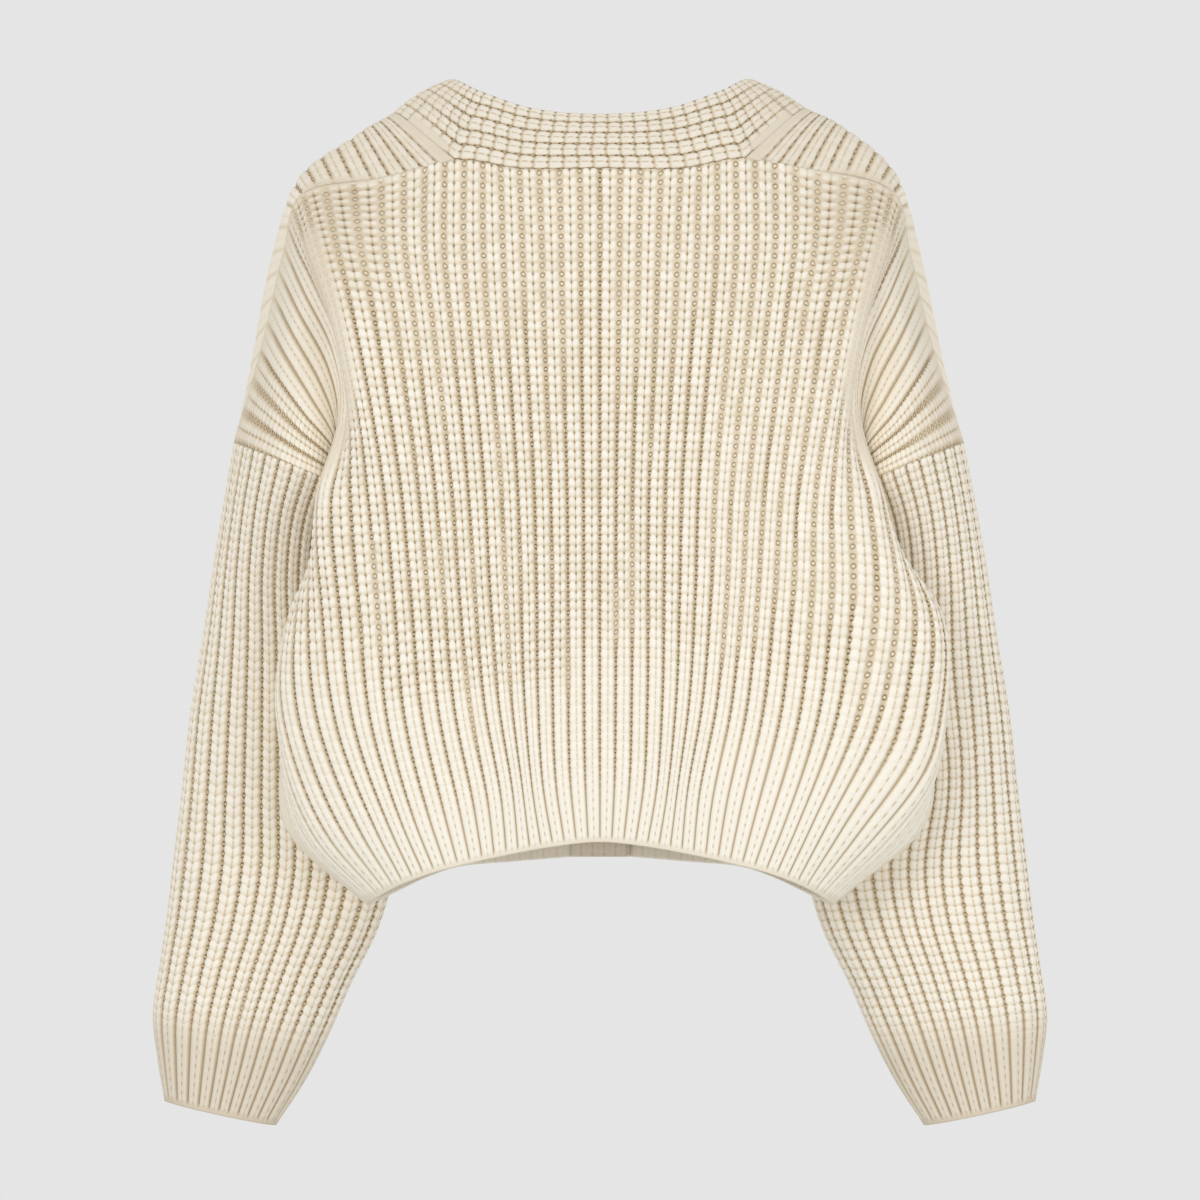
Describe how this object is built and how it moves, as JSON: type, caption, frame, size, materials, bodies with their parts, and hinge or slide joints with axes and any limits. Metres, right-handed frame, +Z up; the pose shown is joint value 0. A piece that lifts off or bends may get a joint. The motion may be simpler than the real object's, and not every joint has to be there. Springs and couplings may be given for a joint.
{
  "type": "cardigan",
  "caption": "Cropped chunky ribbed knit cardigan with a V neck, dropped shoulders, full sleeves and a buttoned front band.",
  "frame": {"origin": "the middle of the neck opening, level with the seam of the collar at the centre back", "axes": "+X towards the wearer's left, +Y towards the wearer's back, +Z up"},
  "size_m": [0.5868, 0.237, 0.6833],
  "materials": {
    "ribbed_wool_knit": "matte, cream wool in a chunky fisherman's rib",
    "button_polyester": "satin, horn-coloured"
  },
  "bodies": {
    "root": {"back": "ribbed_wool_knit", "front_left": "ribbed_wool_knit", "front_right": "ribbed_wool_knit", "sleeve_left": "ribbed_wool_knit", "sleeve_right": "ribbed_wool_knit", "collar": "ribbed_wool_knit", "band_left": "ribbed_wool_knit", "band_right": "ribbed_wool_knit", "button_1": "button_polyester", "button_2": "button_polyester", "button_3": "button_polyester", "button_4": "button_polyester"}
  },
  "joints": []
}
